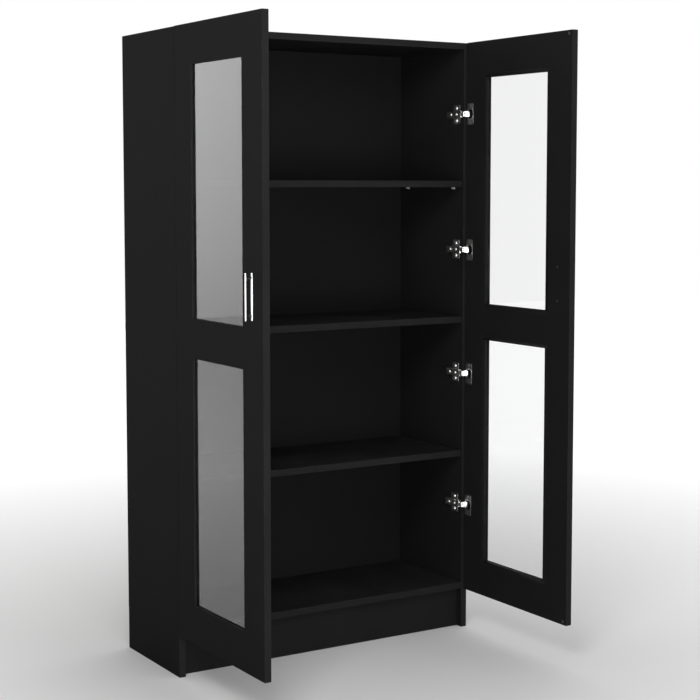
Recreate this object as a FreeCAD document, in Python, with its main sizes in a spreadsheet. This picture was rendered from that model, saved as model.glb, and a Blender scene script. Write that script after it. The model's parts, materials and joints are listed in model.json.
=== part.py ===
import FreeCAD, Part
import math
import os
import re
from FreeCAD import Placement, Rotation, Vector
from Sketcher import Constraint

# Free-standing display cabinet with two windowed doors, drawn with both doors open at a right angle.
# Millimetres, +Z up, +Y towards the back; the origin is under the middle of the open cabinet's box.

SIZES = {
    # case
    "case_width": 822,
    "case_height": 1500,
    "board_depth": 287.5,
    "board": 16,
    "shelf_setback": 5,
    "shelf_play": 0.5,
    "kick_height": 102,
    "kick_setback": 19,
    "back_thick": 3,
    "back_margin": 1,
    # strip that joins the two halves of the back
    "strip_skin": 0.8,
    "strip_height": 14,
    "strip_web": 2,
    # nails through the back
    "nail_radius": 0.8,
    "nail_length": 18,
    "nail_head_radius": 1.8,
    "nail_pitch": 160,
    # cam fittings and dowels
    "cam_radius": 7.5,
    "cam_depth": 12.5,
    "cam_reach": 24,
    "cam_inset": 50,
    "cap_radius": 9,
    "cap_thick": 1,
    "bolt_radius": 3.5,
    "bolt_thread_radius": 2.5,
    "bolt_thread": 10,
    "dowel_radius": 4,
    "dowel_in_side": 11,
    "dowel_in_board": 18,
    "dowel_inset": 90,
    "kick_dowel_spread": 28,
    "bolt_collar": 2,
    "bolt_head": 3,
    "bolt_end_play": 1,
    "cam_slot_width": 1.2,
    "cam_slot_depth": 1.5,
    "cap_draft": 0.5,
    "waist_play": 0.3,
    # clearance round a fitted piece, and how far a cutter runs past the face that it opens
    "fit": 0.1,
    "past": 1,
    # cross slots in the screw heads
    "slot_width": 1,
    "slot_depth": 0.7,
    "slot_reach": 2.5,
    "small_slot_reach": 1.8,
    "small_slot_depth": 0.7,
    "head_draft": 0.8,
    # shelf pins
    "pin_radius": 2.5,
    "pin_in_side": 10,
    "pin_out": 9,
    "pin_inset": 40,
    "pin_collar": 1.2,
    # doors
    "door_thick": 16,
    "door_gap": 1.5,
    "door_inset": 0.5,
    "door_centre_gap": 2,
    "stile_hinge": 82,
    "stile_free": 90,
    "rail": 90,
    "rebate_width": 8,
    "rebate_depth": 10.5,
    "pane_thick": 2,
    "pane_play": 0.5,
    "bead_play": 0.2,
    # fixed axis that stands for the hinge linkage, from the side's outer face and the case front
    "axis_in": 3.55,
    "axis_front": 10.85,
    # heights of the hinges along the door
    "hinge_from_bottom": 222,
    "hinge_below_middle": 137,
    "hinge_above_middle": 179,
    "hinge_from_top": 178,
    # mounting plate
    "plate_setback": 30,
    "plate_width": 28,
    "plate_height": 48,
    "plate_thick": 1.8,
    "plate_corner": 26.5,
    "rail_width": 12,
    "rail_rise": 5,
    "rail_front": 8,
    "rail_back": 56,
    "wing_pitch": 32,
    "wing_screw_radius": 2.5,
    "wing_head_radius": 4,
    "wing_head_rise": 1.2,
    "wing_screw_depth": 11,
    # arm
    "arm_width": 16,
    "arm_wall": 1.2,
    "arm_front_wall": 2,
    "arm_rise": 9.6,
    "arm_front": 2,
    "arm_back": 60,
    "nose_width": 9,
    "nose_radius": 2.4,
    "nose_rise": 7,
    "nose_reach": 7.5,
    "arm_screw_front": 20,
    "arm_screw_back": 44,
    "arm_screw_radius": 2.4,
    "arm_head_radius": 3.6,
    "arm_head_rise": 1.6,
    "arm_screw_clear": 0.5,
    # link and its pin
    "link_length": 15.3,
    "link_rest_angle": 33,
    "link_width": 11.8,
    "link_wide": 13.4,
    "link_thick": 1.4,
    "link_play": 0.25,
    "link_ear_bar": 2,
    "link_plate_gap": 0.4,
    "link_curl": 1.6,
    "link_pin_radius": 1,
    "link_pin_play": 0.05,
    # cup in the door
    "cup_setback": 15.5,
    "cup_radius": 12.5,
    "cup_wall": 0.6,
    "cup_depth": 11,
    "flange_width": 25,
    "flange_height": 54,
    "flange_corner": 28,
    "flange_thick": 1,
    "cup_screw_pitch": 42.5,
    "cup_screw_radius": 1.75,
    "cup_head_radius": 3.4,
    "cup_head_rise": 0.3,
    "cup_head_draft": 0.2,
    "cup_screw_depth": 11,
    # handle
    "handle_height": 911.5,
    "handle_inset": 46,
    "handle_length": 100,
    "handle_reach": 17,
    "grip_width": 10,
    "grip_thick": 4.5,
    "grip_curve": 834,
    "foot_radius": 4,
    "foot_spread": 40,
    "base_width": 14,
    "base_curve": 418,
    "base_thick": 2,
    "handle_screw_radius": 2,
    "handle_screw_bite": 8,
    "handle_head_radius": 4,
    "handle_head_depth": 2.2,
    "handle_slot_depth": 1,
    # soft pads that the closing doors meet
    "bumper_radius": 4,
    "bumper_thick": 1.3,
    "bumper_draft": 0.6,
    "bumper_inset": 12,
}

PLACES = {
    "inner_half": "case_width / 2 - board",
    "leaf_width": "case_width / 2 - door_inset - door_centre_gap / 2",
    "leaf_height": "case_height - kick_height",
    "open_gap": "axis_front - axis_in + door_inset",
    "overhang": "door_gap + door_thick - axis_in - axis_front",
    "door_out": "case_width / 2 + overhang",
    "door_in": "door_out - door_thick",
    "front": "(open_gap + leaf_width - board_depth - back_thick - strip_skin) / 2",
    "back": "front + board_depth",
    "hinge_edge": "front - open_gap",
    "free_edge": "hinge_edge - leaf_width",
    "floor_top": "kick_height + board",
    "roof_under": "case_height - board",
    "bay": "(roof_under - floor_top - 3 * board) / 4",
    "lower_shelf_z": "floor_top + bay",
    "middle_shelf_z": "lower_shelf_z + board + bay",
    "upper_shelf_z": "middle_shelf_z + board + bay",
    "middle_z": "middle_shelf_z + board / 2",
    "window_width": "leaf_width - stile_hinge - stile_free",
    "window_high": "(leaf_height - 3 * rail) / 2",
    "upper_window_z": "2 * rail + window_high",
    "hinge_low": "kick_height + hinge_from_bottom",
    "hinge_mid_low": "middle_z - hinge_below_middle",
    "hinge_mid_high": "middle_z + hinge_above_middle",
    "hinge_high": "case_height - hinge_from_top",
    "cup_y": "hinge_edge - cup_setback",
    "handle_y": "free_edge + handle_inset",
    "grip_gap": "handle_reach - base_thick - grip_thick",
    "bolt_head_start": "cam_reach - bolt_end_play - bolt_head",
    "link_rest_turn": "180 + link_rest_angle",
}

HINGES = ("hinge_low", "hinge_mid_low", "hinge_mid_high", "hinge_high")
SHELVES_LOOSE = ("lower_shelf_z", "upper_shelf_z")
JOINED_BOARDS = ("kick_height + board / 2", "middle_z", "case_height - board / 2")
CAM_ROWS = ("front + cam_inset", "back - cam_inset")
DOWEL_ROWS = ("front + dowel_inset", "back - dowel_inset")
PIN_ROWS = ("front + pin_inset", "back - pin_inset")
KICK_ROW = "front + kick_setback + board / 2"
KICK_DOWELS = ("kick_height / 2 - kick_dowel_spread", "kick_height / 2 + kick_dowel_spread")

# turns that lay a piece drawn along +Z down another axis
ALONG = {
    "z": None,
    "-z": (1, 0, 0, 180),
    "x": (0, 1, 0, 90),
    "-x": (0, 1, 0, -90),
    "y": (1, 0, 0, -90),
    "-y": (1, 0, 0, 90),
}

doc = FreeCAD.newDocument("display_cabinet")
nodes = []


# ---------------------------------------------------------------- sheet, expressions and helpers

def fill_sheet(name, cells):
    """Write a sheet of named cells, names in column A and contents in column B."""
    sheet = doc.addObject("Spreadsheet::Sheet", name)
    for row, (alias, content) in enumerate(cells.items(), 1):
        sheet.set(f"A{row}", alias)
        sheet.set(f"B{row}", str(content))
        sheet.setAlias(f"B{row}", alias)
    return sheet


def linked(formula):
    """Turn a formula in plain names into an expression that reads the two sheets."""
    def owner(match):
        name = match.group(0)
        if name in SIZES:
            return "Sizes." + name
        if name in PLACES:
            return "Places." + name
        return name
    return re.sub(r"[a-z_]+", owner, str(formula))


def bind(piece, prop, formula):
    piece.setExpression(prop, linked(formula))


def place(piece, spot, turn=None):
    """Put a piece at a spot given as three formulas, turned as (x, y, z, degrees or a formula)."""
    if turn:
        axis, angle = Vector(*turn[:3]), turn[3]
        by_formula = isinstance(angle, str)
        piece.Placement.Rotation = Rotation(axis, 1 if by_formula else angle)
        if by_formula:
            bind(piece, "Placement.Rotation.Angle", angle)
    for axis, formula in zip("xyz", spot):
        bind(piece, "Placement.Base." + axis, formula)


def block(name, corner, size):
    """Box from its lowest corner and its three sizes."""
    piece = doc.addObject("Part::Box", name)
    for prop, formula in zip(("Length", "Width", "Height"), size):
        bind(piece, prop, formula)
    place(piece, corner)
    return piece


def rod(name, foot, radius, length, along="z"):
    """Cylinder from the middle of its foot, along an axis."""
    piece = doc.addObject("Part::Cylinder", name)
    bind(piece, "Radius", radius)
    bind(piece, "Height", length)
    place(piece, foot, ALONG[along])
    return piece


def taper(name, foot, foot_radius, top_radius, length, along="z"):
    """Cone from the middle of its foot, along an axis."""
    piece = doc.addObject("Part::Cone", name)
    bind(piece, "Radius1", foot_radius)
    bind(piece, "Radius2", top_radius)
    bind(piece, "Height", length)
    place(piece, foot, ALONG[along])
    return piece


def fuse(name, pieces):
    whole = doc.addObject("Part::MultiFuse", name)
    whole.Shapes = pieces
    return whole


def common(name, pieces):
    whole = doc.addObject("Part::MultiCommon", name)
    whole.Shapes = pieces
    return whole


def cut(name, base, tools):
    """Take all the tools away from the base."""
    taken = doc.addObject("Part::Compound", name + "_tools")
    taken.Links = tools
    whole = doc.addObject("Part::Cut", name)
    whole.Base = base
    whole.Tool = taken
    return whole


def together(name, pieces):
    """Separate solids kept as one named group."""
    whole = doc.addObject("Part::Compound", name)
    whole.Links = pieces
    return whole


def copies(name, master, spots):
    """Copies of one master at many spots, each (x, y, z) or (x, y, z, turn)."""
    links = []
    for number, spot in enumerate(spots):
        link = doc.addObject("App::Link", f"{name}_{number + 1}")
        link.LinkedObject = master
        link.LinkTransform = True
        place(link, spot[:3], spot[3] if len(spot) > 3 else None)
        links.append(link)
    return together(name, links)


def node(label, piece):
    """Name a finished sub-part and keep it for writing."""
    piece.Label = label
    nodes.append(piece)
    return piece


def mirrored(label, piece):
    """The same sub-part on the other side of the cabinet."""
    twin = doc.addObject("Part::Mirroring", label)
    twin.Source = piece
    twin.Normal = (1, 0, 0)
    twin.Base = (0, 0, 0)
    return node(label, twin)


def both_sides(label, piece):
    """Keep a left-hand sub-part and its right-hand twin."""
    node("left_" + label, piece)
    mirrored("right_" + label, piece)


# ---------------------------------------------------------------- sketches

def flat_sketch(body, name, depth="0"):
    """Sketch on the body's YZ plane, moved along X by a depth: its own axes are Y and Z."""
    sketch = body.newObject("Sketcher::SketchObject", name)
    plane = [item for item in body.Origin.OriginFeatures if item.Role == "YZ_Plane"][0]
    sketch.AttachmentSupport = [(plane, "")]
    sketch.MapMode = "FlatFace"
    sketch.AttachmentOffset = Placement(Vector(0, 0, 0), Rotation())
    bind(sketch, "AttachmentOffset.Base.z", depth)
    return sketch


def hold(sketch, name, constraint, formula):
    """Add a dimension to a sketch and bind it to the sheets."""
    index = sketch.addConstraint(constraint)
    sketch.renameConstraint(index, name)
    bind(sketch, "Constraints." + name, formula)


def rectangle(sketch, name, low, high):
    """Rectangle from its low to its high corner, measured from the sketch's origin."""
    first = sketch.GeometryCount
    corners = (Vector(1, 1, 0), Vector(2, 1, 0), Vector(2, 2, 0), Vector(1, 2, 0))
    for number in range(4):
        sketch.addGeometry(Part.LineSegment(corners[number], corners[(number + 1) % 4]), False)
    for number in range(4):
        following = first + (number + 1) % 4
        sketch.addConstraint(Constraint("Coincident", first + number, 2, following, 1))
    for number, direction in enumerate(("Horizontal", "Vertical", "Horizontal", "Vertical")):
        sketch.addConstraint(Constraint(direction, first + number))
    bottom, top = first, first + 2
    hold(sketch, name + "_low_y", Constraint("DistanceX", -1, 1, bottom, 1, 1.0), low[0])
    hold(sketch, name + "_low_z", Constraint("DistanceY", -1, 1, bottom, 1, 1.0), low[1])
    hold(sketch, name + "_high_y", Constraint("DistanceX", -1, 1, top, 1, 2.0), high[0])
    hold(sketch, name + "_high_z", Constraint("DistanceY", -1, 1, top, 1, 2.0), high[1])


def circle(sketch, name, centre, radius):
    """Circle from its centre, measured from the sketch's origin."""
    index = sketch.addGeometry(Part.Circle(Vector(1, 1, 0), Vector(0, 0, 1), 1), False)
    hold(sketch, name + "_radius", Constraint("Radius", index, 1.0), radius)
    hold(sketch, name + "_y", Constraint("DistanceX", -1, 1, index, 3, 1.0), centre[0])
    hold(sketch, name + "_z", Constraint("DistanceY", -1, 1, index, 3, 1.0), centre[1])


def pad(body, sketch, name, length):
    feature = body.newObject("PartDesign::Pad", name)
    feature.Profile = sketch
    bind(feature, "Length", length)
    return feature


def pocket(body, sketch, name, length):
    """Cut from the sketch back towards the body's outer face."""
    feature = body.newObject("PartDesign::Pocket", name)
    feature.Profile = sketch
    bind(feature, "Length", length)
    return feature


# ---------------------------------------------------------------- case

def side_panel():
    """Left side, drilled on its inner face for every fitting that it carries."""
    slab = block("left_side_slab", ("-case_width / 2", "front", 0),
                 ("board", "board_depth", "case_height"))
    drilled = []

    def drill(row, height, radius, depth):
        name = f"left_side_hole_{len(drilled) + 1}"
        drilled.append(rod(name, ("-inner_half", row, height), radius, depth, "-x"))

    for height in JOINED_BOARDS:
        for row in CAM_ROWS:
            drill(row, height, "bolt_thread_radius + fit", "bolt_thread + fit")
        for row in DOWEL_ROWS:
            drill(row, height, "dowel_radius + fit", "dowel_in_side + fit")
    drill(KICK_ROW, "kick_height / 2", "bolt_thread_radius + fit", "bolt_thread + fit")
    for height in KICK_DOWELS:
        drill(KICK_ROW, height, "dowel_radius + fit", "dowel_in_side + fit")
    for shelf in SHELVES_LOOSE:
        for row in PIN_ROWS:
            drill(row, f"{shelf} - pin_radius", "pin_radius + fit", "pin_in_side + fit")
    for hinge in HINGES:
        for sign in (-1, 1):
            drill("front + plate_setback", f"{hinge} + {sign} * wing_pitch / 2",
                  "wing_screw_radius + fit", "wing_screw_depth + fit")
    both_sides("side_panel", cut("left_side_panel", slab, drilled))


def joined_board(label, underside, front_edge, depth):
    """Board held between the sides by cams and dowels, with its cams let in from below."""
    slab = block(label + "_slab", ("-inner_half", front_edge, underside),
                 ("2 * inner_half", depth, "board"))
    tools = []
    for sign, along in ((-1, "x"), (1, "-x")):
        for number, row in enumerate(CAM_ROWS):
            tag = f"{label}_{along}_{number}"
            seat = (f"{sign} * (inner_half - cam_reach)", row, underside)
            end = (f"{sign} * inner_half", row, f"{underside} + board / 2")
            tools.append(rod(tag + "_seat", seat, "cam_radius + fit", "cam_depth"))
            tools.append(rod(tag + "_bore", end, "bolt_radius + fit", "cam_reach", along))
        for number, row in enumerate(DOWEL_ROWS):
            tag = f"{label}_{along}_{number}_dowel"
            end = (f"{sign} * inner_half", row, f"{underside} + board / 2")
            tools.append(rod(tag, end, "dowel_radius + fit", "dowel_in_board + fit", along))
    node(label, cut(label, slab, tools))


def joined_boards():
    """Top, bottom and fixed middle shelf; the shelf is set back and clear of the joining strip."""
    joined_board("top_panel", "roof_under", "front", "board_depth")
    joined_board("bottom_panel", "kick_height", "front", "board_depth")
    joined_board("middle_shelf", "middle_shelf_z", "front + shelf_setback",
                 "board_depth - shelf_setback - strip_skin - fit")


def kickboard():
    """Plinth front, set back under the bottom board, with its cams let in from behind."""
    slab = block("kickboard_slab", ("-inner_half", "front + kick_setback", 0),
                 ("2 * inner_half", "board", "kick_height"))
    tools = []
    for sign, along in ((-1, "x"), (1, "-x")):
        end = f"{sign} * inner_half"
        seat = (f"{sign} * (inner_half - cam_reach)", "front + kick_setback + board",
                "kick_height / 2")
        tools.append(rod(f"kick_{along}_seat", seat, "cam_radius + fit", "cam_depth", "-y"))
        tools.append(rod(f"kick_{along}_bore", (end, KICK_ROW, "kick_height / 2"),
                         "bolt_radius + fit", "cam_reach", along))
        for number, height in enumerate(KICK_DOWELS):
            tools.append(rod(f"kick_{along}_{number}_dowel", (end, KICK_ROW, height),
                             "dowel_radius + fit", "dowel_in_board + fit", along))
    node("kickboard", cut("kickboard", slab, tools))


def loose_shelves():
    for label, height in (("lower_shelf", "lower_shelf_z"), ("upper_shelf", "upper_shelf_z")):
        corner = ("shelf_play - inner_half", "front + shelf_setback", height)
        size = ("2 * (inner_half - shelf_play)", "board_depth - shelf_setback - shelf_play",
                "board")
        node(label, block(label, corner, size))


def back_panels():
    """Two thin panels that meet behind the middle shelf, in an H-section strip."""
    width = "case_width - 2 * back_margin"
    left = "back_margin - case_width / 2"
    low = "kick_height + back_margin"
    seam = "middle_z - strip_web / 2"
    node("lower_back_panel", block("lower_back_panel", (left, "back", low),
                                   (width, "back_thick", f"{seam} - ({low})")))
    seam_top = "middle_z + strip_web / 2"
    node("upper_back_panel", block("upper_back_panel", (left, "back", seam_top),
                                   (width, "back_thick",
                                    f"case_height - back_margin - ({seam_top})")))
    web = block("strip_web_bar", (left, "back", seam), (width, "back_thick", "strip_web"))
    low_edge = "middle_z - strip_height / 2"
    outer = block("strip_outer_skin", (left, "back + back_thick", low_edge),
                  (width, "strip_skin", "strip_height"))
    inner = block("strip_inner_skin", ("fit - inner_half", "back - strip_skin", low_edge),
                  ("2 * (inner_half - fit)", "strip_skin", "strip_height"))
    node("back_joining_strip", fuse("back_joining_strip", [web, outer, inner]))


# ---------------------------------------------------------------- case fittings

def cam_spots():
    """Every cam as (x, y, z, turn), with the turn that points its axis into its board."""
    spots = []
    for sign in (-1, 1):
        for height in ("kick_height", "middle_shelf_z", "roof_under"):
            for row in CAM_ROWS:
                spots.append((f"{sign} * (inner_half - cam_reach)", row, height))
        spots.append((f"{sign} * (inner_half - cam_reach)", "front + kick_setback + board",
                      "kick_height / 2", ALONG["-y"]))
    return spots


def cams():
    """Cam locks with a waist for the bolt's head, and the caps that hide them."""
    drum = rod("cam_drum", (0, 0, 0), "cam_radius", "cam_depth - fit")
    waist = rod("cam_waist", ("-cam_radius - past", 0, "board / 2"), "bolt_radius + waist_play",
                "2 * (cam_radius + past)", "x")
    slot = block("cam_slot", ("-cam_radius / 2", "-cam_slot_width / 2", "-past"),
                 ("cam_radius", "cam_slot_width", "cam_slot_depth + past"))
    master = cut("cam_lock_master", drum, [waist, slot])
    node("cam_locks", copies("cam_locks", master, cam_spots()))
    cap = taper("cam_cap_master", (0, 0, "-cap_thick"), "cap_radius - cap_draft", "cap_radius",
                "cap_thick")
    node("cam_caps", copies("cam_caps", cap, cam_spots()))


def bolt_spots():
    spots = []
    for sign, turn in ((-1, ALONG["x"]), (1, ALONG["-x"])):
        for height in JOINED_BOARDS:
            for row in CAM_ROWS:
                spots.append((f"{sign} * inner_half", row, height, turn))
        spots.append((f"{sign} * inner_half", KICK_ROW, "kick_height / 2", turn))
    return spots


def dowel_spots():
    spots = []
    for sign, turn in ((-1, ALONG["x"]), (1, ALONG["-x"])):
        for height in JOINED_BOARDS:
            for row in DOWEL_ROWS:
                spots.append((f"{sign} * inner_half", row, height, turn))
        for height in KICK_DOWELS:
            spots.append((f"{sign} * inner_half", KICK_ROW, height, turn))
    return spots


def bolts_and_dowels():
    thread = rod("bolt_thread_rod", (0, 0, "-bolt_thread"), "bolt_thread_radius", "bolt_thread")
    collar = rod("bolt_collar_rod", (0, 0, 0), "bolt_radius", "bolt_collar")
    shank = rod("bolt_shank", (0, 0, 0), "bolt_thread_radius", "bolt_head_start + bolt_head")
    head = rod("bolt_head_rod", (0, 0, "bolt_head_start"), "bolt_radius", "bolt_head")
    master = fuse("cam_bolt_master", [thread, collar, shank, head])
    node("cam_bolts", copies("cam_bolts", master, bolt_spots()))
    dowel = rod("dowel_master", (0, 0, "-dowel_in_side"), "dowel_radius",
                "dowel_in_side + dowel_in_board")
    node("wood_dowels", copies("wood_dowels", dowel, dowel_spots()))


def shelf_pins():
    shank = rod("pin_shank", (0, 0, "-pin_in_side"), "pin_radius", "pin_in_side + pin_out")
    collar = rod("pin_collar_rod", (0, 0, 0), "pin_radius + pin_collar", "pin_collar")
    flat = block("pin_flat", ("-pin_radius - pin_collar", "pin_radius", "-past"),
                 ("2 * (pin_radius + pin_collar)", "pin_collar + past", "pin_collar + 2 * past"))
    master = cut("shelf_pin_master", fuse("pin_whole", [shank, collar]), [flat])
    spots = []
    for sign, along in ((-1, "x"), (1, "-x")):
        for shelf in SHELVES_LOOSE:
            for row in PIN_ROWS:
                spots.append((f"{sign} * inner_half", row, f"{shelf} - pin_radius",
                              pin_turn(along)))
    node("shelf_pins", copies("shelf_pins", master, spots))


def pin_turn(along):
    """Lay a pin along X with its flat, drawn towards +Y, facing up."""
    lay = Rotation(Vector(*ALONG[along][:3]), ALONG[along][3])
    spin = Rotation(Vector(1, 0, 0), 90)
    whole = spin.multiply(lay)
    return (*whole.Axis, math.degrees(whole.Angle))


def back_nails():
    """Small nails round the edge of each back panel."""
    shank = rod("nail_shank", (0, 0, "-nail_length"), "nail_radius", "nail_length")
    head = rod("nail_head", (0, 0, 0), "nail_head_radius", "strip_skin")
    master = fuse("nail_master", [shank, head])
    outer = "back + back_thick"
    spots = []
    for sign in (-1, 1):
        for centre in ("(kick_height + middle_z) / 2", "(case_height + middle_z) / 2"):
            for step in (-1.5, -0.5, 0.5, 1.5):
                spots.append((f"{sign} * (case_width / 2 - board / 2)", outer,
                              f"{centre} + {step} * nail_pitch", ALONG["y"]))
    for height in ("kick_height + board / 2", "case_height - board / 2"):
        for step in (-2, -1, 0, 1, 2):
            spots.append((f"{step} * nail_pitch", outer, height, ALONG["y"]))
    node("back_nails", copies("back_nails", master, spots))


# ---------------------------------------------------------------- hinges, drawn at one hinge's height
# A hinge is drawn from the side's inner face, x inwards, and the case front, y towards the back.

def hinge_spots():
    return [("-inner_half", "front", hinge) for hinge in HINGES]


def hinge_plates():
    """Mounting plate with its wings and the raised rail that the arm grips."""
    wing = block("plate_wing", (0, "plate_setback - plate_width / 2", "-plate_height / 2"),
                 ("plate_thick", "plate_width", "plate_height"))
    rounding = rod("plate_rounding", (0, "plate_setback", 0), "plate_corner", "plate_thick", "x")
    base = common("plate_base", [wing, rounding])
    rise = block("plate_rail", (0, "rail_front", "-rail_width / 2"),
                 ("rail_rise", "rail_back - rail_front", "rail_width"))
    holes = []
    for number, sign in enumerate((-1, 1)):
        centre = ("-past", "plate_setback", f"{sign} * wing_pitch / 2")
        holes.append(rod(f"plate_hole_{number}", centre, "wing_screw_radius + fit",
                         "plate_thick + 2 * past", "x"))
    for number, row in enumerate(("arm_screw_front", "arm_screw_back")):
        holes.append(rod(f"rail_hole_{number}", ("plate_thick", row, 0),
                         "arm_screw_radius + fit", "rail_rise", "x"))
    master = cut("hinge_plate_master", fuse("plate_whole", [base, rise]), holes)
    both_sides("hinge_plates", copies("left_hinge_plates", master, hinge_spots()))


def driver_slots(name, face, depth, reach, y="0", z="0"):
    """Cross for a driver in a screw head that faces +X, its middle at y and z."""
    floor = f"{face} - {depth}"
    run = f"{depth} + past"
    flat = block(name + "_flat", (floor, f"{y} - {reach}", f"{z} - slot_width / 2"),
                 (run, f"2 * {reach}", "slot_width"))
    tall = block(name + "_tall", (floor, f"{y} - slot_width / 2", f"{z} - {reach}"),
                 (run, "slot_width", f"2 * {reach}"))
    return [flat, tall]


def plate_screws():
    shank = rod("wing_screw_shank", ("-wing_screw_depth", 0, 0), "wing_screw_radius",
                "wing_screw_depth + plate_thick", "x")
    head = taper("wing_screw_head", ("plate_thick", 0, 0), "wing_head_radius",
                 "wing_head_radius - head_draft", "wing_head_rise", "x")
    slots = driver_slots("wing_screw", "(plate_thick + wing_head_rise)", "slot_depth",
                         "slot_reach")
    master = cut("wing_screw_master", fuse("wing_screw_whole", [shank, head]), slots)
    spots = []
    for hinge in HINGES:
        for sign in (-1, 1):
            spots.append(("-inner_half", "front + plate_setback",
                          f"{hinge} + {sign} * wing_pitch / 2"))
    both_sides("plate_screws", copies("left_plate_screws", master, spots))


def hinge_arms():
    """Channel over the rail, narrowing to a nose that carries the link's pin."""
    outer = block("arm_outer", ("plate_thick + fit", "arm_front", "-arm_width / 2"),
                  ("arm_rise - plate_thick - fit", "arm_back - arm_front", "arm_width"))
    inner = block("arm_inner", (0, "arm_front + arm_front_wall", "arm_wall - arm_width / 2"),
                  ("rail_rise + fit", "arm_back", "arm_width - 2 * arm_wall"))
    stem = block("arm_stem", ("nose_rise - nose_radius", "-nose_reach", "-nose_width / 2"),
                 ("2 * nose_radius", "nose_reach + arm_front + past", "nose_width"))
    tip = rod("arm_tip", ("nose_rise", "-nose_reach", "-nose_width / 2"), "nose_radius",
              "nose_width")
    whole = fuse("arm_whole", [outer, stem, tip])
    tools = [inner]
    for number, row in enumerate(("arm_screw_front", "arm_screw_back")):
        tools.append(rod(f"arm_hole_{number}", (0, row, 0), "arm_screw_radius + fit",
                         "arm_rise + past", "x"))
    tools.append(rod("arm_pin_bore", ("nose_rise", "-nose_reach", "-nose_width"),
                     "link_pin_radius", "2 * nose_width"))
    master = cut("hinge_arm_master", whole, tools)
    both_sides("hinge_arms", copies("left_hinge_arms", master, hinge_spots()))


def arm_screws():
    foot = "plate_thick + arm_screw_clear"
    shank = rod("arm_screw_shank", (foot, 0, 0), "arm_screw_radius", f"arm_rise - ({foot})", "x")
    head = taper("arm_screw_head", ("arm_rise", 0, 0), "arm_head_radius",
                 "arm_head_radius - head_draft", "arm_head_rise", "x")
    slots = driver_slots("arm_screw", "(arm_rise + arm_head_rise)", "slot_depth", "slot_reach")
    master = cut("arm_screw_master", fuse("arm_screw_whole", [shank, head]), slots)
    spots = []
    for hinge in HINGES:
        for row in ("arm_screw_front", "arm_screw_back"):
            spots.append(("-inner_half", "front + " + row, hinge))
    both_sides("arm_screws", copies("left_arm_screws", master, spots))


def nose_spots(turn=None):
    x = "nose_rise - inner_half"
    y = "front - nose_reach"
    return [(x, y, hinge, turn) for hinge in HINGES]


def link_pins():
    pin = rod("link_pin_master", (0, 0, "-link_width / 2"), "link_pin_radius - link_pin_play",
              "link_width")
    both_sides("link_pins", copies("left_link_pins", pin, nose_spots()))


def hinge_links():
    """Link drawn from its pin along +X: two ears beside the nose and a plate into the cup."""
    ears = []
    ear_thick = "(link_width - nose_width) / 2 - link_play"
    for number, low in enumerate(("-link_width / 2", "nose_width / 2 + link_play")):
        ears.append(rod(f"link_ear_{number}", (0, 0, low), "nose_radius", ear_thick))
        ears.append(block(f"link_ear_bar_{number}", (0, "nose_radius - link_thick", low),
                          ("nose_radius + link_ear_bar", "link_thick", ear_thick)))
    start = "(nose_radius + link_play + link_plate_gap)"
    plate = block("link_plate", (start, "nose_radius - link_thick", "-link_wide / 2"),
                  (f"link_length - link_curl - {start}", "link_thick", "link_wide"))
    centre = ("link_length - link_curl", "nose_radius - link_curl", "-link_width / 2")
    curl = rod("link_curl_rod", centre, "link_curl", "link_width")
    whole = fuse("link_whole", ears + [plate, curl])
    bore = rod("link_bore", (0, 0, "-link_width"), "link_pin_radius", "2 * link_width")
    master = cut("hinge_link_master", whole, [bore])
    turn = (0, 0, 1, "link_rest_turn")
    both_sides("hinge_links", copies("left_hinge_links", master, nose_spots(turn)))


# ---------------------------------------------------------------- doors, drawn open

def hinge_cups():
    """Cup drawn at the door's inner face, x out of the door, with its flange."""
    shell = rod("cup_shell", ("-cup_depth", 0, 0), "cup_radius", "cup_depth", "x")
    wide = block("flange_wide", (0, "-flange_width / 2", "-flange_height / 2"),
                 ("flange_thick", "flange_width", "flange_height"))
    rounding = rod("flange_rounding", (0, 0, 0), "flange_corner", "flange_thick", "x")
    flange = common("flange_plate", [wide, rounding])
    hollow = rod("cup_hollow", ("cup_wall - cup_depth", 0, 0), "cup_radius - cup_wall",
                 "cup_depth + flange_thick", "x")
    tools = [hollow]
    for number, sign in enumerate((-1, 1)):
        tools.append(rod(f"flange_hole_{number}", ("-past", 0, f"{sign} * cup_screw_pitch / 2"),
                         "cup_screw_radius + fit", "flange_thick + 2 * past", "x"))
    master = cut("hinge_cup_master", fuse("cup_whole", [shell, flange]), tools)
    spots = [("-door_in", "cup_y", hinge) for hinge in HINGES]
    both_sides("hinge_cups", copies("left_hinge_cups", master, spots))


def cup_screws():
    shank = rod("cup_screw_shank", ("-cup_screw_depth", 0, 0), "cup_screw_radius",
                "cup_screw_depth + flange_thick", "x")
    head = taper("cup_screw_head", ("flange_thick", 0, 0), "cup_head_radius",
                 "cup_head_radius - cup_head_draft", "cup_head_rise", "x")
    slots = driver_slots("cup_screw", "(flange_thick + cup_head_rise)", "small_slot_depth",
                         "small_slot_reach")
    master = cut("cup_screw_master", fuse("cup_screw_whole", [shank, head]), slots)
    spots = []
    for hinge in HINGES:
        for sign in (-1, 1):
            spots.append(("-door_in", "cup_y", f"{hinge} + {sign} * cup_screw_pitch / 2"))
    both_sides("cup_screws", copies("left_cup_screws", master, spots))


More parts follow.
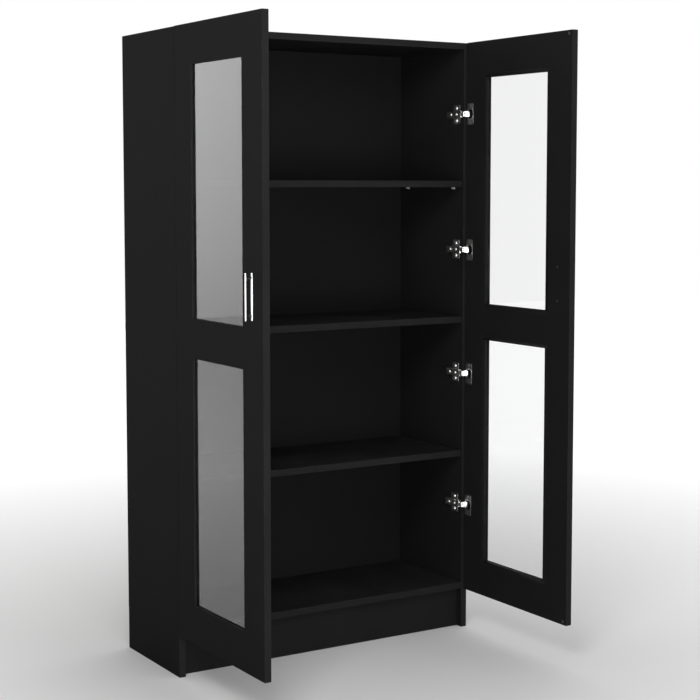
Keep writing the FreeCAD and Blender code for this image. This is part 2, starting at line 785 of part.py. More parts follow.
def door_leaf():
    """One board with two windows, rebated on its inner face and bored for cups and handle."""
    body = doc.addObject("PartDesign::Body", "left_door_leaf")
    place(body, ("-door_out", "free_edge", "kick_height"))
    windows = (("lower", "rail"), ("upper", "upper_window_z"))
    far = "leaf_width - stile_hinge"

    outline = flat_sketch(body, "leaf_outline")
    rectangle(outline, "leaf", ("0", "0"), ("leaf_width", "leaf_height"))
    for name, low in windows:
        rectangle(outline, name, ("stile_free", low), (far, f"{low} + window_high"))
    pad(body, outline, "leaf_board", "door_thick")

    step = flat_sketch(body, "leaf_rebates", "door_thick")
    for name, low in windows:
        rectangle(step, name, ("stile_free - rebate_width", f"{low} - rebate_width"),
                  (f"{far} + rebate_width", f"{low} + window_high + rebate_width"))
    pocket(body, step, "leaf_rebate", "rebate_depth")

    cups = flat_sketch(body, "leaf_cup_bores", "door_thick")
    pilots = flat_sketch(body, "leaf_cup_pilots", "door_thick")
    across = "leaf_width - cup_setback"
    for number, hinge in enumerate(HINGES):
        circle(cups, f"cup_{number}", (across, f"{hinge} - kick_height"), "cup_radius + fit")
        for side, sign in (("low", -1), ("high", 1)):
            height = f"{hinge} - kick_height + {sign} * cup_screw_pitch / 2"
            circle(pilots, f"pilot_{number}_{side}", (across, height), "cup_screw_radius + fit")
    pocket(body, cups, "leaf_cups", "cup_depth + fit")
    pocket(body, pilots, "leaf_pilots", "cup_screw_depth + fit")

    shafts = flat_sketch(body, "leaf_handle_bores", "door_thick")
    sinks = flat_sketch(body, "leaf_handle_sinks", "door_thick")
    for side, sign in (("low", -1), ("high", 1)):
        centre = ("handle_inset", f"handle_height - kick_height + {sign} * foot_spread")
        circle(shafts, "shaft_" + side, centre, "handle_screw_radius + fit")
        circle(sinks, "sink_" + side, centre, "handle_head_radius + fit")
    pocket(body, shafts, "leaf_handle_shafts", "door_thick")
    body.Tip = pocket(body, sinks, "leaf_handle_seats", "handle_head_depth + fit")
    both_sides("door_leaf", body)


def panes():
    """Clear sheets laid in the rebates from the inner face."""
    reach = "(rebate_width - pane_play)"
    outer = "door_thick - rebate_depth - door_out"
    for level, low in (("lower", "rail"), ("upper", "upper_window_z")):
        corner = (outer, f"free_edge + stile_free - {reach}", f"kick_height + {low} - {reach}")
        size = ("pane_thick", f"window_width + 2 * {reach}", f"window_high + 2 * {reach}")
        both_sides(level + "_pane", block(f"left_{level}_pane", corner, size))


def pane_beads():
    """Four flat strips a window, pressed in on top of the pane, flush with the inner face."""
    strips = []
    x = "door_thick - rebate_depth + pane_thick - door_out"
    thick = "rebate_depth - pane_thick - bead_play"
    wide = "(rebate_width - bead_play)"
    for level, low in (("lower", "rail"), ("upper", "upper_window_z")):
        y_low = f"free_edge + stile_free - {wide}"
        y_high = "free_edge + leaf_width - stile_hinge"
        z_low = f"kick_height + {low}"
        z_high = f"{z_low} + window_high"
        full = f"window_width + 2 * {wide}"
        strips.append(block(f"bead_{level}_bottom", (x, y_low, f"{z_low} - {wide}"),
                            (thick, full, wide)))
        strips.append(block(f"bead_{level}_top", (x, y_low, z_high), (thick, full, wide)))
        strips.append(block(f"bead_{level}_free", (x, y_low, z_low), (thick, wide, "window_high")))
        strips.append(block(f"bead_{level}_hinge", (x, y_high, z_low),
                            (thick, wide, "window_high")))
    both_sides("pane_beads", together("left_pane_beads", strips))


def spindle(name, width, curve, length, thick, x):
    """Flat bar that swells towards its middle, centred on the handle."""
    slab = block(name + "_slab", (x, f"handle_y - {width} / 2", f"handle_height - {length} / 2"),
                 (thick, width, length))
    pieces = [slab]
    for side, sign in (("near", 1), ("far", -1)):
        middle = (x, f"handle_y + {sign} * ({curve} - {width} / 2)", "handle_height")
        pieces.append(rod(f"{name}_{side}", middle, curve, thick, "x"))
    return common(name, pieces)


def handles():
    """Straight grip on two feet over a slim base, screwed from inside the door."""
    base_x = "-door_out - base_thick"
    base = spindle("handle_base_blank", "base_width", "base_curve", "handle_length",
                   "base_thick", base_x)
    grip = spindle("handle_grip", "grip_width", "grip_curve", "handle_length", "grip_thick",
                   "-door_out - handle_reach")
    feet = []
    bores = []
    taps = []
    for side, sign in (("low", -1), ("high", 1)):
        height = f"handle_height + {sign} * foot_spread"
        feet.append(rod("handle_foot_" + side, (base_x, "handle_y", height), "foot_radius",
                        "grip_gap + grip_thick / 2", "-x"))
        bores.append(rod("handle_base_bore_" + side, (f"{base_x} - past", "handle_y", height),
                         "handle_screw_radius + fit", "base_thick + 2 * past", "x"))
        taps.append(rod("handle_tap_" + side, (base_x, "handle_y", height),
                        "handle_screw_radius + fit", "handle_screw_bite + fit", "-x"))
    both_sides("handle_base", cut("left_handle_base", base, bores))
    whole = fuse("handle_whole", [grip] + feet)
    both_sides("handle", cut("left_handle", whole, taps))


def handle_screws():
    """Countersunk screws from the door's inner face into the handle's feet."""
    screws = []
    for side, sign in (("low", -1), ("high", 1)):
        height = f"handle_height + {sign} * foot_spread"
        shank = rod("handle_screw_shank_" + side, ("-door_in", "handle_y", height),
                    "handle_screw_radius", "door_thick + base_thick + handle_screw_bite", "-x")
        head = rod("handle_screw_head_" + side, ("-door_in", "handle_y", height),
                   "handle_head_radius", "handle_head_depth", "-x")
        whole = fuse("handle_screw_whole_" + side, [shank, head])
        slots = driver_slots("handle_screw_" + side, "-door_in", "handle_slot_depth",
                             "slot_reach", "handle_y", height)
        screws.append(cut("handle_screw_" + side, whole, slots))
    both_sides("handle_screws", together("left_handle_screws", screws))


def bumpers():
    """Soft pads on the door's inner face, over the top and bottom boards' front edges."""
    pad_disc = taper("bumper_master", (0, 0, 0), "bumper_radius",
                     "bumper_radius - bumper_draft", "bumper_thick", "x")
    spots = []
    for height in ("case_height - board / 2", "kick_height + board / 2"):
        spots.append(("-door_in", "free_edge + bumper_inset", height))
    both_sides("door_bumpers", copies("left_door_bumpers", pad_disc, spots))


# ---------------------------------------------------------------- build, check and write

def build():
    side_panel()
    joined_boards()
    loose_shelves()
    kickboard()
    back_panels()
    cams()
    bolts_and_dowels()
    shelf_pins()
    back_nails()
    hinge_plates()
    plate_screws()
    hinge_arms()
    arm_screws()
    link_pins()
    hinge_links()
    hinge_cups()
    cup_screws()
    door_leaf()
    panes()
    pane_beads()
    handles()
    handle_screws()
    bumpers()


def check():
    """Stop if any feature failed or any sub-part is not a valid closed shape."""
    for item in doc.Objects:
        if "Invalid" in item.State or "Error" in item.State:
            raise RuntimeError(f"{item.Name} failed: {item.State}")
    for piece in nodes:
        if piece.Shape.isNull() or not piece.Shape.isValid() or not piece.Shape.Solids:
            raise RuntimeError(f"{piece.Label} has no valid solid")


def write():
    os.makedirs("parts", exist_ok=True)
    for piece in nodes:
        piece.Shape.exportStep(f"parts/{piece.Label}.step")


fill_sheet("Sizes", SIZES)
fill_sheet("Places", {name: "=" + linked(formula) for name, formula in PLACES.items()})
doc.recompute()
build()
doc.recompute()
check()
write()
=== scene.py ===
import bmesh
import bpy
import json
import math
from mathutils import Matrix, Vector


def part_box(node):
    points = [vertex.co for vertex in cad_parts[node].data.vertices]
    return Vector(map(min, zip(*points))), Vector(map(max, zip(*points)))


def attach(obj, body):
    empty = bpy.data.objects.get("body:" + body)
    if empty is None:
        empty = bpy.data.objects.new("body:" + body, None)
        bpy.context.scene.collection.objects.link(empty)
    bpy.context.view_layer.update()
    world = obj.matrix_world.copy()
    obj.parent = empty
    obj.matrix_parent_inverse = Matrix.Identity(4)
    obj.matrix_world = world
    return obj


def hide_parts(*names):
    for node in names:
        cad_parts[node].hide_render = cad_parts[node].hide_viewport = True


# Black display cabinet with two windowed doors standing open: boards with eased edges, clear panes,
# bright hinges and slim chrome handles. Metres, +Z up, +Y towards the cabinet's back.

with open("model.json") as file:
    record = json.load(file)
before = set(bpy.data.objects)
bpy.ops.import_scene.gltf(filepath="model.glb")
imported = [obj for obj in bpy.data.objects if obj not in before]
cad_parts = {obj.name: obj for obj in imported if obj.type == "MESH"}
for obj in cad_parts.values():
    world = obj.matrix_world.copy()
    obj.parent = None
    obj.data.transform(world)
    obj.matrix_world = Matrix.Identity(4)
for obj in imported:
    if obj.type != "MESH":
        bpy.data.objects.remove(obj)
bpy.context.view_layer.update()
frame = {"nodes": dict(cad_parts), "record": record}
RECORD = frame["record"]
BODY_OF = {node: body for body, nodes in RECORD["behaviour"]["bodies"].items() for node in nodes}
SLOT_OF = {entry["node"]: entry["material_slot"] for entry in RECORD["subparts"]}
SIDES = {"left": -1, "right": 1}

MM = 0.001
MERGE = 0.002 * MM
FLAT_ANGLE = math.radians(1)
SHARP_ANGLE = math.radians(40)

# shading stays crisp at edges sharper than this, in degrees
SMOOTH_UNDER = 35
GRIP_SMOOTH_UNDER = 40

# camera: turned from +Y towards +X and tilted down, both in degrees; lens and sensor in millimetres
CAMERA_PLACE = (-1.961, -3.182, 1.144)
CAMERA_TURN = 31.857
CAMERA_DOWN = 4.736
CAMERA_LENS = 80.778
CAMERA_SHIFT = -0.05
CAMERA_SENSOR = 36.0

# sky: white to look at; as a light it is dimmer on the left, towards -X, and has a glow
SKY_WHITE = 1.0
SKY_LEFT = 0.1
SKY_LEFT_UP_TO = -0.6
SKY_WHITE_FROM = 0.1
GLOW_WHITE = 3.1
GLOW_EDGE = 0.93
GLOW_TOWARDS = (-0.46, 0.89, 0.2)

# floor: darker near the cabinet as a painted soft shadow, lighter and lifted by a painted glow with
# distance, so that it runs into the sky without an edge
FLOOR_HALF = 9.0
FLOOR_PAINTED_SHADOW = 0.66
FLOOR_FAR = 0.9
FLOOR_PAINTED_GLOW = 0.4
FLOOR_SHADOW_FADES_FROM = 0.5
FLOOR_SHADOW_GONE_AT = 3.0

# lamps: power in watts
KEY_PLACE = (-1.7, -1.9, 2.3)
KEY_AIM = (-0.2, 0.0, 1.6)
KEY_SIZE = (1.0, 1.0)
KEY_POWER = 38.0
FILL_PLACE = (-1.3, -3.4, 0.5)
FILL_AIM = (0.1, 0.2, 0.6)
FILL_SIZE = (1.6, 1.6)
FILL_POWER = 80.0


# ---------------------------------------------------------------- meshes

def show(piece):
    """Put an object in the scene."""
    bpy.context.scene.collection.objects.link(piece)
    return piece


def piece_from(name, bm, finishes, smooth_under=None):
    """Object from a finished bmesh; edges sharper than smooth_under degrees stay crisp."""
    mesh = bpy.data.meshes.new(name)
    bm.to_mesh(mesh)
    bm.free()
    for finish in finishes:
        mesh.materials.append(finish)
    if smooth_under:
        mesh.shade_smooth()
        mesh.set_sharp_from_angle(angle=math.radians(smooth_under))
    else:
        mesh.shade_flat()
    return show(bpy.data.objects.new(name, mesh))


def stands_for(piece, node):
    """Put a piece in the place of a CAD node: same body, and the node hidden."""
    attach(piece, BODY_OF[node])
    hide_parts(node)
    return piece


def merged_copy(node):
    """A node's mesh with its loose triangles joined up and its flat faces made whole."""
    bm = bmesh.new()
    bm.from_mesh(frame["nodes"][node].data)
    bmesh.ops.remove_doubles(bm, verts=bm.verts, dist=MERGE)
    bmesh.ops.dissolve_limit(bm, angle_limit=FLAT_ANGLE, verts=bm.verts, edges=bm.edges)
    return bm


def ease_edges(bm, radius, shortest=0.0, steps=2):
    """Round off sharp edges longer than shortest, and mark the new faces as eased."""
    eased = bm.faces.layers.float.new("eased")
    sharp = []
    for edge in bm.edges:
        if len(edge.link_faces) != 2 or edge.calc_length() < shortest:
            continue
        if edge.calc_face_angle() > SHARP_ANGLE and edge.is_convex:
            sharp.append(edge)
    made = bmesh.ops.bevel(bm, geom=sharp, offset=radius, segments=steps, profile=0.5,
                           affect="EDGES", clamp_overlap=True)
    for face in made["faces"]:
        face[eased] = 1.0


def solids_of(node):
    """Lowest and highest corner of each separate solid of a node, bottom first."""
    bm = merged_copy(node)
    bm.verts.ensure_lookup_table()
    unseen = set(range(len(bm.verts)))
    boxes = []
    while unseen:
        reached = [min(unseen)]
        unseen.discard(reached[0])
        corners = []
        while reached:
            vert = bm.verts[reached.pop()]
            corners.append(vert.co.copy())
            for edge in vert.link_edges:
                other = edge.other_vert(vert).index
                if other in unseen:
                    unseen.discard(other)
                    reached.append(other)
        low = Vector(map(min, zip(*corners)))
        high = Vector(map(max, zip(*corners)))
        boxes.append((low, high))
    bm.free()
    return sorted(boxes, key=lambda box: (round(box[0].z, 5), round(box[0].y, 5), box[0].x))


def lathe(profile, sides):
    """Turned shape about Z from (radius, height) points, lowest first, closed at both ends."""
    bm = bmesh.new()
    rings = []
    for radius, height in profile:
        if radius < MERGE:
            rings.append([bm.verts.new((0, 0, height))])
            continue
        ring = []
        for step in range(sides):
            angle = 2 * math.pi * step / sides
            ring.append(bm.verts.new((radius * math.cos(angle), radius * math.sin(angle), height)))
        rings.append(ring)
    for low, high in zip(rings, rings[1:]):
        for step in range(sides):
            following = (step + 1) % sides
            if len(low) == 1:
                bm.faces.new((low[0], high[following], high[step]))
            elif len(high) == 1:
                bm.faces.new((low[step], low[following], high[0]))
            else:
                bm.faces.new((low[step], low[following], high[following], high[step]))
    bmesh.ops.recalc_face_normals(bm, faces=bm.faces)
    return bm


def loft(rings):
    """Skin over rings of the same number of points, closed with a flat face at each end."""
    bm = bmesh.new()
    rows = [[bm.verts.new(point) for point in ring] for ring in rings]
    for low, high in zip(rows, rows[1:]):
        for step in range(len(low)):
            following = (step + 1) % len(low)
            bm.faces.new((low[step], low[following], high[following], high[step]))
    bm.faces.new(rows[0])
    bm.faces.new(rows[-1])
    bmesh.ops.recalc_face_normals(bm, faces=bm.faces)
    return bm


def join_into(bm, other):
    """Add another bmesh's faces to bm."""
    spare = bpy.data.meshes.new("spare")
    other.to_mesh(spare)
    other.free()
    bm.from_mesh(spare)
    bpy.data.meshes.remove(spare)


# ---------------------------------------------------------------- shader groups

def put(tree, kind, **inputs):
    """Add a shader node, with its plain input values given by name."""
    node = tree.nodes.new(kind)
    for name, value in inputs.items():
        node.inputs[name.replace("_", " ")].default_value = value
    return node


def noise(tree, vector, scale, detail, roughness=0.5):
    """Cloudy value from 0 to 1; its scale is a plain number or an earlier result."""
    node = put(tree, "ShaderNodeTexNoise", Detail=detail, Roughness=roughness)
    tree.links.new(vector, node.inputs["Vector"])
    if isinstance(scale, (int, float)):
        node.inputs["Scale"].default_value = scale
    else:
        tree.links.new(scale, node.inputs["Scale"])
    return node.outputs["Fac"]


def spread(tree, value, low, high, to_low=0.0, to_high=1.0):
    """Map a value from one range to another, held within the new one."""
    node = put(tree, "ShaderNodeMapRange")
    node.clamp = True
    tree.links.new(value, node.inputs["Value"])
    for name, end in (("From Min", low), ("From Max", high), ("To Min", to_low), ("To Max", to_high)):
        if isinstance(end, (int, float)):
            node.inputs[name].default_value = end
        else:
            tree.links.new(end, node.inputs[name])
    return node.outputs["Result"]


def combine(tree, first, second, operation="MULTIPLY"):
    """Work out one value from two, each a plain number or an earlier result."""
    node = put(tree, "ShaderNodeMath")
    node.operation = operation
    for socket, value in zip(node.inputs, (first, second)):
        if isinstance(value, (int, float)):
            socket.default_value = value
        else:
            tree.links.new(value, socket)
    return node.outputs["Value"]


def weighed(tree, first, second, share):
    """Sum of two values, the first taken by its share and the second by what is left."""
    return combine(tree, combine(tree, first, share), combine(tree, second, 1.0 - share), "ADD")


def new_group(name, inputs, outputs):
    """Empty shader group; inputs are (name, kind, default) and outputs (name, kind)."""
    group = bpy.data.node_groups.new(name, "ShaderNodeTree")
    for label, kind, default in inputs:
        socket = group.interface.new_socket(label, in_out="INPUT", socket_type=kind)
        if default is not None:
            socket.default_value = default
    for label, kind in outputs:
        group.interface.new_socket(label, in_out="OUTPUT", socket_type=kind)
    entry = group.nodes.new("NodeGroupInput")
    leave = group.nodes.new("NodeGroupOutput")
    return group, entry.outputs, leave.inputs


VECTOR = "NodeSocketVector"
FLOAT = "NodeSocketFloat"


def pearl_group():
    """Pressed pearl texture of melamine or moulded plastic, with slow cloudy patches."""
    group, given, wanted = new_group(
        "pearl_texture",
        [("Coordinates", VECTOR, None), ("Grain Scale", FLOAT, 700.0), ("Cloud Scale", FLOAT, 6.0)],
        [("Height", FLOAT), ("Cloud", FLOAT)])
    fine = noise(group, given["Coordinates"], given["Grain Scale"], 2.0)
    crest = spread(group, fine, 0.42, 0.62)
    wide = noise(group, given["Coordinates"], given["Cloud Scale"], 3.0)
    group.links.new(crest, wanted["Height"])
    group.links.new(spread(group, wide, 0.3, 0.7), wanted["Cloud"])
    return group


def rub_group():
    """Patchy rubbing along eased edges, where hands and cloths reach."""
    group, given, wanted = new_group(
        "edge_rub",
        [("Coordinates", VECTOR, None), ("Patch Scale", FLOAT, 40.0), ("Amount", FLOAT, 0.5)],
        [("Mask", FLOAT)])
    eased = put(group, "ShaderNodeAttribute")
    eased.attribute_name = "eased"
    patches = noise(group, given["Coordinates"], given["Patch Scale"], 6.0, 0.65)
    worn = spread(group, patches, 0.45, 0.7)
    mask = combine(group, combine(group, eased.outputs["Fac"], worn), given["Amount"])
    group.links.new(mask, wanted["Mask"])
    return group


def dust_group():
    """Thin dust on faces that look up, heavier in patches."""
    group, given, wanted = new_group(
        "settled_dust",
        [("Coordinates", VECTOR, None), ("Patch Scale", FLOAT, 9.0), ("Amount", FLOAT, 0.3)],
        [("Mask", FLOAT)])
    facing = put(group, "ShaderNodeNewGeometry")
    parts = put(group, "ShaderNodeSeparateXYZ")
    group.links.new(facing.outputs["Normal"], parts.inputs["Vector"])
    upward = spread(group, parts.outputs["Z"], 0.7, 1.0)
    patches = spread(group, noise(group, given["Coordinates"], given["Patch Scale"], 5.0, 0.6), 0.3, 0.75)
    specks = spread(group, noise(group, given["Coordinates"], 420.0, 1.0), 0.62, 0.72)
    both = weighed(group, patches, specks, 0.6)
    group.links.new(combine(group, combine(group, upward, both), given["Amount"]), wanted["Mask"])
    return group


def handling_group():
    """Faint smears and fine scratches left by hands and polishing cloths."""
    group, given, wanted = new_group(
        "handling_marks",
        [("Coordinates", VECTOR, None), ("Smear Scale", FLOAT, 18.0), ("Scratch Scale", FLOAT, 300.0)],
        [("Smears", FLOAT), ("Scratches", FLOAT)])
    stretch = put(group, "ShaderNodeMapping")
    stretch.inputs["Scale"].default_value = (1.0, 0.35, 1.0)
    group.links.new(given["Coordinates"], stretch.inputs["Vector"])
    smears = noise(group, stretch.outputs["Vector"], given["Smear Scale"], 6.0, 0.6)
    long_way = put(group, "ShaderNodeMapping")
    long_way.inputs["Scale"].default_value = (1.0, 1.0, 0.04)
    group.links.new(given["Coordinates"], long_way.inputs["Vector"])
    lines = noise(group, long_way.outputs["Vector"], given["Scratch Scale"], 3.0, 0.7)
    group.links.new(spread(group, smears, 0.35, 0.7), wanted["Smears"])
    group.links.new(spread(group, lines, 0.55, 0.75), wanted["Scratches"])
    return group


GROUPS = {
    "pearl": pearl_group(),
    "rub": rub_group(),
    "dust": dust_group(),
    "handling": handling_group(),
}


# ---------------------------------------------------------------- finishes

RUBBED_BLACK = (0.05, 0.049, 0.048)
RUBBED_METAL = (0.93, 0.92, 0.9)
DUST = (0.32, 0.31, 0.29)
PALE_WOOD = (0.72, 0.55, 0.36)
WOOD_GRAIN = (0.42, 0.27, 0.15)


class Finish:
    """One material: a Principled shader with constants, and helpers to feed its varying sockets."""

    def __init__(self, name, **constants):
        self.material = bpy.data.materials.new(name)
        self.material.use_nodes = True
        self.tree = self.material.node_tree
        self.shader = self.tree.nodes["Principled BSDF"]
        for socket, value in constants.items():
            self.shader.inputs[socket.replace("_", " ")].default_value = value
        self.place = put(self.tree, "ShaderNodeTexCoord").outputs["Object"]

    def group(self, kind, **values):
        """Use a shared effect with this finish's own values."""
        node = self.tree.nodes.new("ShaderNodeGroup")
        node.node_tree = GROUPS[kind]
        self.tree.links.new(self.place, node.inputs["Coordinates"])
        for name, value in values.items():
            node.inputs[name.replace("_", " ")].default_value = value
        return node.outputs

    def blend(self, fac, first, second):
        """Colour between two, each a colour or an earlier result."""
        node = put(self.tree, "ShaderNodeMix")
        node.data_type = "RGBA"
        self.tree.links.new(fac, node.inputs["Factor"])
        for socket, colour in ((node.inputs[6], first), (node.inputs[7], second)):
            if isinstance(colour, tuple):
                socket.default_value = (*colour, 1.0)
            else:
                self.tree.links.new(colour, socket)
        return node.outputs[2]

    def level(self, value, low, high):
        """A value from 0 to 1 laid out between low and high."""
        return spread(self.tree, value, 0.0, 1.0, low, high)

    def feed(self, socket, value):
        """Drive one of the shader's sockets."""
        self.tree.links.new(value, self.shader.inputs[socket])

    def bump(self, height, depth, strength):
        """Raise the surface by height times depth metres, as strongly as strength says."""
        node = put(self.tree, "ShaderNodeBump", Strength=strength, Distance=depth)
        self.tree.links.new(height, node.inputs["Height"])
        self.tree.links.new(node.outputs["Normal"], self.shader.inputs["Normal"])


def melamine(name, dark, light, low_rough, high_rough, grain_scale, depth):
    """Black board face: pearl texture, faint clouds, rubbed edges and a breath of dust."""
    finish = Finish(name, Specular_IOR_Level=0.004)
    pearl = finish.group("pearl", Grain_Scale=grain_scale)
    rub = finish.group("rub")["Mask"]
    dust = finish.group("dust", Amount=0.05)["Mask"]
    clouded = finish.blend(pearl["Cloud"], dark, light)
    rubbed = finish.blend(rub, clouded, RUBBED_BLACK)
    finish.feed("Base Color", finish.blend(dust, rubbed, DUST))
    finish.feed("Roughness", finish.level(pearl["Cloud"], low_rough, high_rough))
    finish.bump(pearl["Height"], depth, 0.5)
    return finish.material


def hardboard(name, dark, light):
    """Pressed fibre board: short felted fibres over slow colour patches."""
    finish = Finish(name, Specular_IOR_Level=0.04)
    pearl = finish.group("pearl", Grain_Scale=260.0, Cloud_Scale=3.0)
    marks = finish.group("handling", Scratch_Scale=900.0)
    patched = finish.blend(pearl["Cloud"], dark, light)
    finish.feed("Base Color", finish.blend(finish.level(marks["Scratches"], 0.0, 0.15), patched, light))
    finish.feed("Roughness", finish.level(pearl["Height"], 0.6, 0.8))
    finish.bump(pearl["Height"], 0.06 * MM, 0.6)
    return finish.material


def moulded(name, dark, light, low_rough, high_rough, spec=0.3):
    """Moulded plastic or rubber with a spark-eroded skin."""
    finish = Finish(name, Specular_IOR_Level=spec)
    pearl = finish.group("pearl", Grain_Scale=1400.0, Cloud_Scale=30.0)
    rub = finish.group("rub", Patch_Scale=90.0, Amount=0.4)["Mask"]
    finish.feed("Base Color", finish.blend(rub, finish.blend(pearl["Cloud"], dark, light), light))
    finish.feed("Roughness", finish.level(pearl["Cloud"], low_rough, high_rough))
    finish.bump(pearl["Height"], 0.02 * MM, 0.5)
    return finish.material


def plated(name, dark, light, low_rough, high_rough, depth):
    """Plated metal: faint clouding, hairline scratches and brighter rubbed edges."""
    finish = Finish(name, Metallic=1.0)
    pearl = finish.group("pearl", Grain_Scale=500.0, Cloud_Scale=60.0)
    marks = finish.group("handling", Smear_Scale=50.0, Scratch_Scale=900.0)
    rub = finish.group("rub", Patch_Scale=150.0, Amount=0.6)["Mask"]
    clouded = finish.blend(pearl["Cloud"], dark, light)
    finish.feed("Base Color", finish.blend(rub, clouded, RUBBED_METAL))
    mixed = weighed(finish.tree, marks["Smears"], marks["Scratches"], 0.6)
    finish.feed("Roughness", finish.level(mixed, low_rough, high_rough))
    finish.bump(marks["Scratches"], depth, 0.4)
    return finish.material


def beech():
    """Dowel wood: straight pale grain with small dark flecks along it."""
    finish = Finish("beech", Specular_IOR_Level=0.3)
    lengthwise = put(finish.tree, "ShaderNodeMapping")
    lengthwise.inputs["Scale"].default_value = (0.08, 1.0, 1.0)
    finish.tree.links.new(finish.place, lengthwise.inputs["Vector"])
    grain = noise(finish.tree, lengthwise.outputs["Vector"], 900.0, 5.0, 0.6)
    finish.feed("Base Color", finish.blend(grain, WOOD_GRAIN, PALE_WOOD))
    finish.feed("Roughness", finish.level(grain, 0.5, 0.7))
    finish.bump(grain, 0.05 * MM, 0.5)
    return finish.material


def acrylic():
    """Clear polished sheet, with wiping marks faint in its gloss and its tint."""
    finish = Finish("clear_acrylic", Transmission_Weight=1.0, IOR=1.49)
    marks = finish.group("handling", Smear_Scale=7.0, Scratch_Scale=120.0)
    finish.feed("Base Color", finish.blend(marks["Smears"], (0.99, 0.995, 0.993), (0.985, 0.991, 0.989)))
    finish.feed("Roughness", finish.level(marks["Smears"], 0.0, 0.002))
    return finish.material


FINISHES = {
    "black_board": melamine("black_melamine", (0.0104, 0.0104, 0.0106), (0.0123, 0.0123, 0.0125),
                            0.42, 0.52, 650.0, 0.03 * MM),
    "edge_band": melamine("black_edge_band", (0.0122, 0.0122, 0.0124), (0.0143, 0.0143, 0.0145),
                          0.38, 0.46, 1100.0, 0.015 * MM),
    "back_hardboard": hardboard("black_hardboard", (0.0082, 0.0082, 0.0082), (0.0094, 0.0094, 0.0094)),
    "raw_hardboard": hardboard("brown_hardboard", (0.09, 0.053, 0.028), (0.108, 0.065, 0.035)),
    "black_plastic": moulded("black_plastic", (0.010, 0.010, 0.010), (0.014, 0.014, 0.014), 0.4, 0.6, 0.03),
    "bumper_rubber": moulded("bumper_rubber", (0.022, 0.022, 0.022), (0.04, 0.04, 0.04), 0.55, 0.75),
    "cast_zinc": plated("cast_zinc", (0.42, 0.42, 0.43), (0.6, 0.6, 0.61), 0.4, 0.6, 0.03 * MM),
    "plated_steel": plated("plated_steel", (0.88, 0.88, 0.88), (0.96, 0.96, 0.95), 0.42, 0.58, 0.01 * MM),
    "beech": beech(),
    "bright_nickel": plated("bright_nickel", (0.84, 0.83, 0.81), (0.93, 0.92, 0.9), 0.28, 0.42, 0.008 * MM),
    "chrome_handle": plated("polished_chrome", (0.86, 0.86, 0.87), (0.93, 0.93, 0.94), 0.06, 0.14,
                            0.003 * MM),
    "black_screw": moulded("black_lacquer", (0.012, 0.012, 0.012), (0.02, 0.02, 0.02), 0.3, 0.45, 0.5),
    "clear_acrylic": acrylic(),
}


# ---------------------------------------------------------------- boards

CUP_BORE_RADIUS = 12.4 * MM
FLANGE_THICK = 1.2 * MM
LONG_EDGE = 14 * MM

# how far sharp edges are rounded
BOARD_EASE = 0.6 * MM
BACK_EASE = 0.3 * MM
CAP_EASE = 0.3 * MM
PIN_EASE = 0.25 * MM
PANE_EASE = 0.15 * MM
BEAD_EASE = 0.25 * MM
PLATE_EASE = 0.6 * MM
ARM_EASE = 1.1 * MM
LINK_EASE = 0.3 * MM
CUP_EASE = 0.5 * MM

# a face looks squarely, or mostly, along an axis when its normal's share along it is above these
SQUARE_ON = 0.99
MOSTLY_ALONG = 0.5

BOARDS = ("left_side_panel", "right_side_panel", "top_panel", "bottom_panel", "kickboard",
          "lower_shelf", "middle_shelf", "upper_shelf", "left_door_leaf", "right_door_leaf")


def board(node):
    """Board with eased edges, faced on its two wide sides and banded round its thin ones."""
    low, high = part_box(node)
    thin = min(range(3), key=lambda axis: high[axis] - low[axis])
    bm = merged_copy(node)
    ease_edges(bm, BOARD_EASE, LONG_EDGE, 3)
    for face in bm.faces:
        face.material_index = 0 if abs(face.normal[thin]) > SQUARE_ON else 1
    piece = piece_from(node + "_board", bm, [FINISHES["black_board"], FINISHES["edge_band"]])
    return stands_for(piece, node)


def back_panel(node):
    """Thin hardboard, black inside and raw brown outside."""
    bm = merged_copy(node)
    ease_edges(bm, BACK_EASE, LONG_EDGE, 1)
    for face in bm.faces:
        face.material_index = 1 if face.normal.y > MOSTLY_ALONG else 0
    finishes = [FINISHES["back_hardboard"], FINISHES["raw_hardboard"]]
    return stands_for(piece_from(node + "_sheet", bm, finishes), node)


def hinge_cups(side):
    """Flanged cups, bright outside; the bore's wall and floor are black plastic as painted shade in the
    cup's hollow.
    """
    node = side + "_hinge_cups"
    bm = merged_copy(node)
    spots = [(low + high) / 2 for low, high in solids_of(node)]
    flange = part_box(node)[0 if side == "right" else 1].x
    for face in bm.faces:
        middle = face.calc_center_median()
        spot = min(spots, key=lambda each: abs(each.z - middle.z))
        across = Vector((middle.y - spot.y, middle.z - spot.z))
        inward = Vector((face.normal.y, face.normal.z)).dot(across) < 0
        faces_out = abs(face.normal.x) > MOSTLY_ALONG and abs(middle.x - flange) > FLANGE_THICK
        # faces inside the bore take the black finish: painted shade in the hollow of the cup
        if across.length < CUP_BORE_RADIUS and (inward or faces_out):
            face.material_index = 1
    ease_edges(bm, CUP_EASE, 0.0, 3)
    finishes = [FINISHES[SLOT_OF[node]], FINISHES["black_plastic"]]
    return stands_for(piece_from(side + "_cups", bm, finishes, SMOOTH_UNDER), node)


def softened(node, radius, name, steps=2, smooth_under=SMOOTH_UNDER):
    """A node's own shape with its sharp edges eased."""
    bm = merged_copy(node)
    ease_edges(bm, radius, 0.0, steps)
    return stands_for(piece_from(name, bm, [FINISHES[SLOT_OF[node]]], smooth_under), node)


# ---------------------------------------------------------------- fasteners

